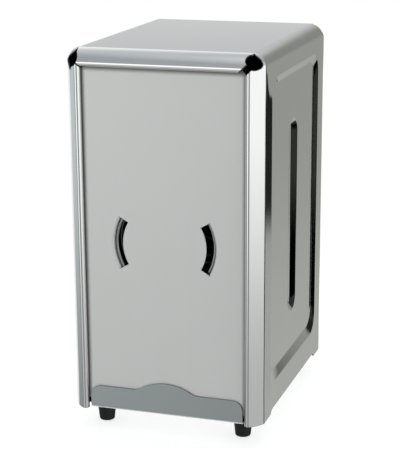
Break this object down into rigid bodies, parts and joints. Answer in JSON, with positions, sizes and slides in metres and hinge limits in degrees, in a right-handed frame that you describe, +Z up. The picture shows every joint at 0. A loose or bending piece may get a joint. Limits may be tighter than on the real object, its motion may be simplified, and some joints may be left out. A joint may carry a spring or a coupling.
{
  "type": "tall-fold napkin dispenser",
  "caption": "Upright two-sided sheet-metal napkin dispenser with slanted frames round its mouths, recessed and grooved sides, and sprung face plates.",
  "frame": {"origin": "centre of the bounding box, on the surface the feet stand on", "axes": "+Z up, front mouth towards -Y, rear mouth towards +Y, +X to the right as seen from the front"},
  "size_m": [0.098, 0.1266, 0.1905],
  "materials": {
    "polished_steel": "bright polished sheet, faintly brushed on top",
    "satin_steel": "satin sheet",
    "base_steel": "satin sheet, darker than the plates",
    "spring_wire": "drawn spring wire",
    "zinc_steel": "zinc plated",
    "black_rubber": "matt"
  },
  "bodies": {
    "housing": {"housing_shell": "polished_steel", "base_plate": "base_steel", "spring_front": "spring_wire", "spring_rear": "spring_wire", "foot_front_left": "black_rubber", "foot_front_right": "black_rubber", "foot_rear_left": "black_rubber", "foot_rear_right": "black_rubber", "washer_front_left": "zinc_steel", "washer_front_right": "zinc_steel", "washer_rear_left": "zinc_steel", "washer_rear_right": "zinc_steel", "rivet_front_left": "zinc_steel", "rivet_front_right": "zinc_steel", "rivet_rear_left": "zinc_steel", "rivet_rear_right": "zinc_steel"},
    "front_pusher": {"front_plate": "satin_steel"},
    "rear_pusher": {"rear_plate": "satin_steel"}
  },
  "joints": [
    {"name": "front_plate_slide", "type": "slide", "parent": "housing", "child": "front_pusher", "axis": [0, 1, 0], "range_m": [0, 0.04], "stiffness_N_per_m": 114, "springref_m": -0.022, "deforming": ["spring_front"]},
    {"name": "rear_plate_slide", "type": "slide", "parent": "housing", "child": "rear_pusher", "axis": [0, -1, 0], "range_m": [0, 0.04], "stiffness_N_per_m": 114, "springref_m": -0.022, "deforming": ["spring_rear"]}
  ]
}
